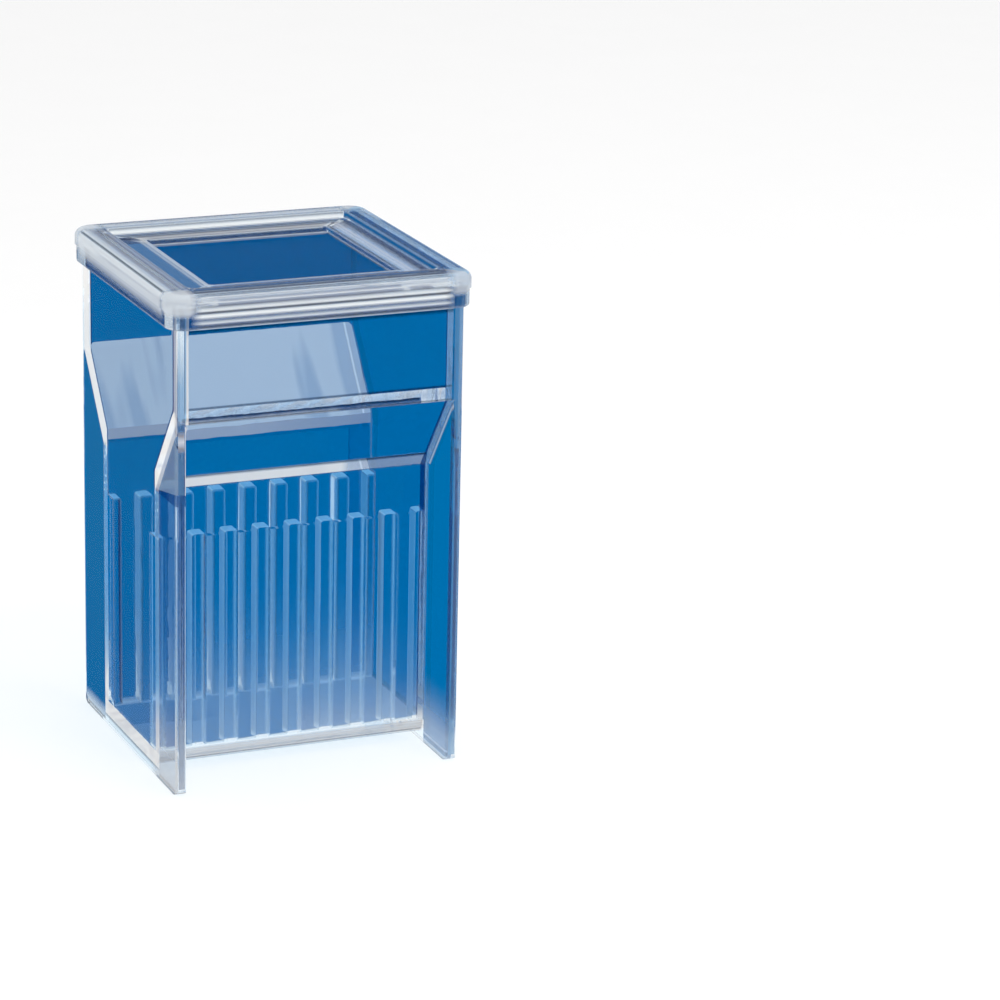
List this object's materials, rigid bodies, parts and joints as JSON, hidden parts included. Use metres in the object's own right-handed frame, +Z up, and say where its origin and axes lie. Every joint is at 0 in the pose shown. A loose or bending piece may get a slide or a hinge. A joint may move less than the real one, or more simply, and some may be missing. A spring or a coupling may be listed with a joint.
{
  "type": "slide staining jar",
  "caption": "Clear moulded jar for staining microscope slides: wide square mouth, sloping shoulders, narrow ribbed compartment between full-height end plates, and a stepped lift-off lid.",
  "frame": {"origin": "on the ground, under the middle of the jar, at the bottom centre of the whole part with its lid on", "axes": "+Z up, the long axis of the part and the way the lid lifts; X along the row of slots, with an end plate at each end; Y across the slides, with a sloping shoulder on each side"},
  "size_m": [0.057, 0.057, 0.0918],
  "materials": {
    "jar_plastic": "polished transparent moulded plastic",
    "lid_plastic": "polished transparent moulded plastic"
  },
  "bodies": {
    "jar": {"jar": "jar_plastic"},
    "lid": {"lid": "lid_plastic"}
  },
  "joints": [
    {"name": "lid_lift", "type": "slide", "parent": "jar", "child": "lid", "axis": [0, 0, 1], "range_m": [0, 0.1]}
  ]
}
